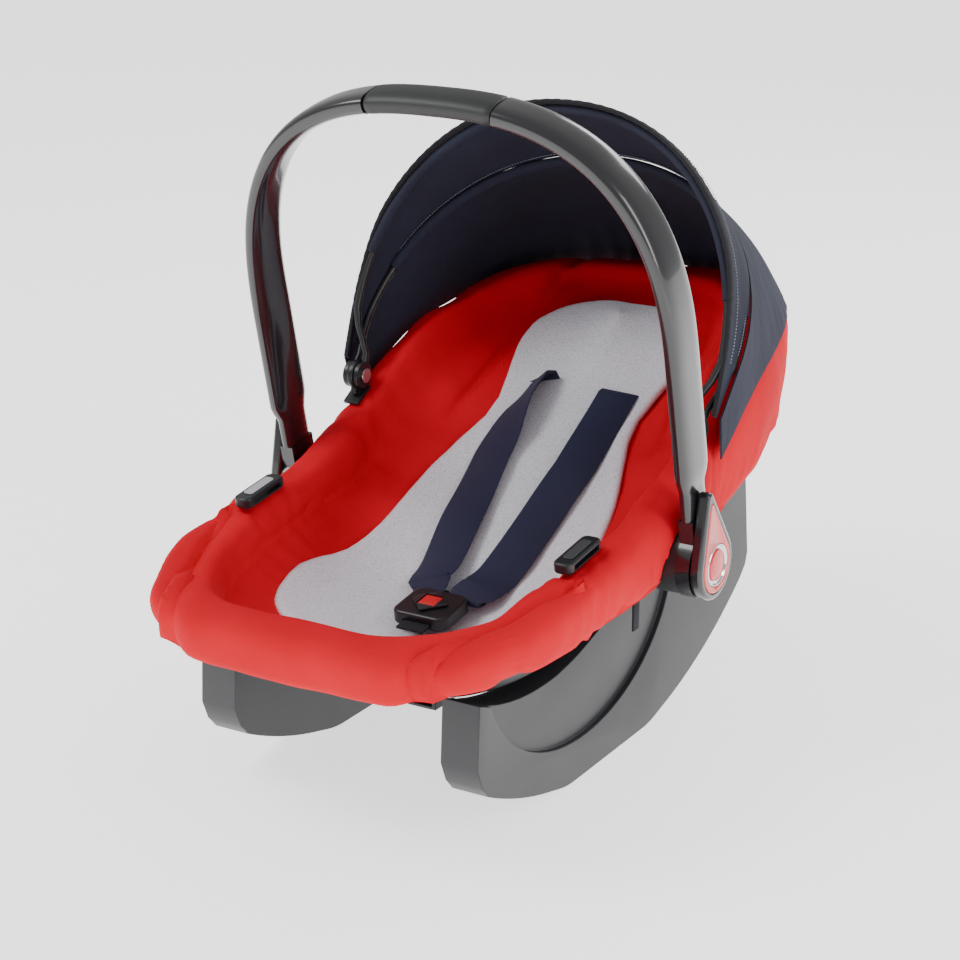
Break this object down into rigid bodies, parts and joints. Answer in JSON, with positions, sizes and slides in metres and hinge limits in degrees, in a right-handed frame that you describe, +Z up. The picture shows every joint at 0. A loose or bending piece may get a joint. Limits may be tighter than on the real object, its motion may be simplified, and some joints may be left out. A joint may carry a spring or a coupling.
{
  "type": "infant car seat",
  "caption": "Rear-facing infant carrier seat on rockers: padded bucket with harness, folding canopy, tilting carry handle with release buttons and lap-belt guides.",
  "frame": {"origin": "middle of the footprint, on the surface that the rockers stand on", "axes": "+Z up, +Y towards the head end, +X to the side with the yellow tab"},
  "size_m": [0.4314, 0.6907, 0.5626],
  "materials": {
    "shell_plastic": "satin moulded, fine grain",
    "foam": "bead foam",
    "cover_fabric": "smooth stretch knit over padding",
    "insert_fabric": "speckled terry",
    "gloss_black": "gloss",
    "grip_plastic": "fine texture",
    "satin_black": "satin",
    "steel": "plated",
    "gear_plastic": "moulded",
    "red_plastic": "gloss",
    "chrome_trim": "bright",
    "canopy_fabric": "plain weave",
    "binding_fabric": "woven tape",
    "webbing": "flat woven",
    "grey_plastic": "satin",
    "tab_fabric": "woven tape"
  },
  "bodies": {
    "root": {"shell": "shell_plastic", "rocker_r": "shell_plastic", "rocker_l": "shell_plastic", "foam_liner": "foam", "seat_cover": "cover_fabric", "infant_insert": "insert_fabric", "hub_base_r": "satin_black", "hub_base_l": "satin_black", "guide_pin_r": "steel", "guide_pin_l": "steel", "lock_spring_r": "steel", "lock_spring_l": "steel", "canopy_clip_r": "satin_black", "canopy_clip_l": "satin_black", "hinge_rivet_r": "steel", "hinge_rivet_l": "steel", "canopy_rear": "canopy_fabric", "harness_strap_r": "webbing", "harness_strap_l": "webbing", "crotch_strap": "binding_fabric", "buckle_body": "satin_black", "buckle_frame": "satin_black", "buckle_tongue_r": "satin_black", "buckle_tongue_l": "satin_black", "harness_yoke": "steel", "adjuster_strap": "webbing", "adjuster_body": "satin_black", "belt_guide_r": "satin_black", "belt_guide_l": "satin_black", "guide_plate_r": "grey_plastic", "guide_plate_l": "grey_plastic", "cover_strap_r": "binding_fabric", "cover_strap_l": "binding_fabric", "cover_tab": "tab_fabric"},
    "handle": {"handle_bow": "gloss_black", "handle_grip": "grip_plastic", "hub_screws": "steel", "handle_eye_r": "gloss_black", "hub_cap_r": "gloss_black", "teardrop_panel_r": "red_plastic", "button_ring_r": "chrome_trim", "handle_eye_l": "gloss_black", "hub_cap_l": "gloss_black", "teardrop_panel_l": "red_plastic", "button_ring_l": "chrome_trim"},
    "button_r": {"release_button_r": "red_plastic"},
    "button_l": {"release_button_l": "red_plastic"},
    "gear_r": {"lock_gear_r": "gear_plastic"},
    "gear_l": {"lock_gear_l": "gear_plastic"},
    "rear_bow": {"rear_bow": "satin_black"},
    "front_bow": {"front_bow": "satin_black", "canopy_front": "canopy_fabric", "canopy_binding": "binding_fabric"},
    "buckle_button": {"buckle_button": "red_plastic"},
    "adjuster_lever": {"adjuster_lever": "grey_plastic"}
  },
  "joints": [
    {"name": "handle_tilt", "type": "hinge", "parent": "root", "child": "handle", "pos_m": [0, -0.024, 0.179], "axis": [1, 0, 0], "range_deg": [-58, 58]},
    {"name": "press_r", "type": "slide", "parent": "handle", "child": "button_r", "axis": [-1, 0, 0], "range_m": [0, 0.0045], "stiffness_N_per_m": 700, "springref_m": -0.002},
    {"name": "press_l", "type": "slide", "parent": "handle", "child": "button_l", "axis": [1, 0, 0], "range_m": [0, 0.0045], "stiffness_N_per_m": 700, "springref_m": -0.002},
    {"name": "unlock_r", "type": "slide", "parent": "root", "child": "gear_r", "axis": [-1, 0, 0], "range_m": [0, 0.0046], "deforming": ["lock_spring_r"]},
    {"name": "unlock_l", "type": "slide", "parent": "root", "child": "gear_l", "axis": [1, 0, 0], "range_m": [0, 0.0046], "deforming": ["lock_spring_l"]},
    {"name": "canopy_fold", "type": "hinge", "parent": "root", "child": "rear_bow", "pos_m": [0, 0.022, 0.27463], "axis": [-1, 0, 0], "range_deg": [0, 20], "deforming": ["canopy_rear", "canopy_front", "canopy_binding"]},
    {"name": "canopy_front_fold", "type": "hinge", "parent": "rear_bow", "child": "front_bow", "pos_m": [0, 0.022, 0.27463], "axis": [-1, 0, 0], "range_deg": [0, 12.2], "deforming": ["canopy_front"]},
    {"name": "buckle_press", "type": "slide", "parent": "root", "child": "buckle_button", "axis": [0, 0.1392, -0.9903], "range_m": [0, 0.0028], "stiffness_N_per_m": 600, "springref_m": -0.002},
    {"name": "adjuster_press", "type": "slide", "parent": "root", "child": "adjuster_lever", "axis": [0, 0, 1], "range_m": [0, 0.0025], "stiffness_N_per_m": 500, "springref_m": -0.003}
  ],
  "couplings": [
    {"joint": "unlock_r", "follows": "press_r", "ratio": 1},
    {"joint": "unlock_l", "follows": "press_l", "ratio": 1}
  ]
}
